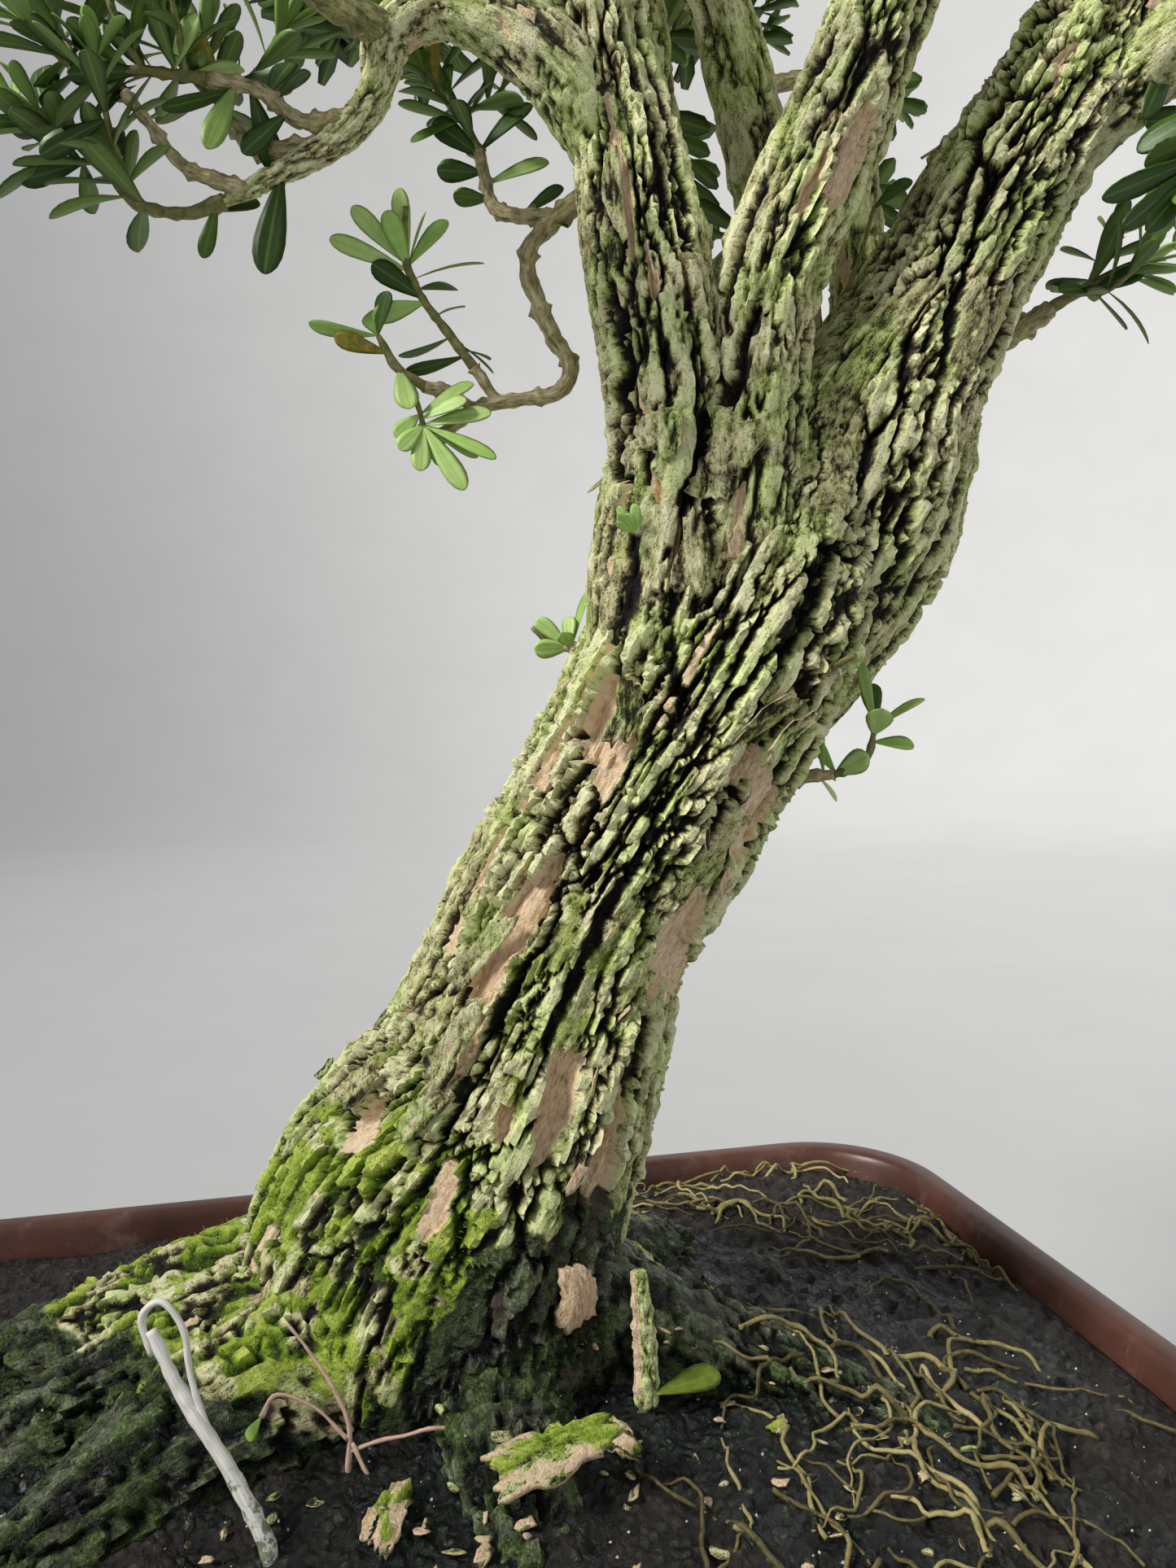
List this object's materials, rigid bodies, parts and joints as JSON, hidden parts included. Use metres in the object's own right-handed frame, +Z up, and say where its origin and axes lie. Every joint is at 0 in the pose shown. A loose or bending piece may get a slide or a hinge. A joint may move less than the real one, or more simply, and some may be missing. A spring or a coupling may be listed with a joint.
{
  "type": "bonsai tree in a pot",
  "caption": "Harland boxwood bonsai with a leaning, deeply ridged corky trunk that forks into several limbs of small spoon-shaped leaves, in a brown rectangular pot of mossy soil.",
  "frame": {"origin": "centre of the pot's flat underside", "axes": "+Z up, +X along the pot's long side towards which the trunk leans, +Y to the back of the tree"},
  "size_m": [0.5332, 0.3501, 0.7319],
  "materials": {
    "pot": "satin, a little dusty",
    "screen": "matte",
    "soil": "matte, damp, with moss",
    "bark": "rough corky bark with pale lichen and green moss",
    "leaf": "glossy above",
    "young_leaf": "satin",
    "surface_root": "matte",
    "dead_twig": "matte",
    "dead_stalk": "satin",
    "seedling": "satin",
    "bark_chip": "matte"
  },
  "bodies": {
    "root": {"bark_chip_1": "bark_chip", "bark_chip_2": "bark_chip", "bark_chip_3": "bark_chip", "bark_chip_4": "bark_chip", "dead_stalk": "dead_stalk", "dead_twig": "dead_twig", "drain_screen_left": "screen", "drain_screen_right": "screen", "pot": "pot", "seedling": "seedling", "shoot_behind_left_column": "leaf", "shoot_hanging_left": "young_leaf", "shoot_hanging_upright": "young_leaf", "shoot_left_branch_end": "leaf", "shoot_left_branch_middle": "leaf", "shoot_left_branch_upper": "leaf", "shoot_right_limb_drooping": "leaf", "shoot_right_low_limb": "leaf", "shoot_trunk_left": "young_leaf", "shoot_trunk_right_lower": "young_leaf", "shoot_trunk_right_upper": "young_leaf", "soil": "soil", "spray_01": "leaf", "spray_02": "leaf", "spray_03": "leaf", "spray_04": "leaf", "spray_05": "leaf", "spray_06": "leaf", "spray_07": "leaf", "spray_08": "leaf", "spray_09": "leaf", "spray_10": "leaf", "spray_11": "leaf", "spray_12": "leaf", "spray_13": "leaf", "spray_14": "leaf", "spray_15": "leaf", "spray_16": "leaf", "spray_17": "leaf", "spray_18": "leaf", "spray_19": "leaf", "spray_20": "leaf", "spray_21": "leaf", "spray_22": "leaf", "surface_roots_1": "surface_root", "surface_roots_2": "surface_root", "surface_roots_3": "surface_root", "surface_roots_4": "surface_root", "trunk_and_branches": "bark"}
  },
  "joints": []
}
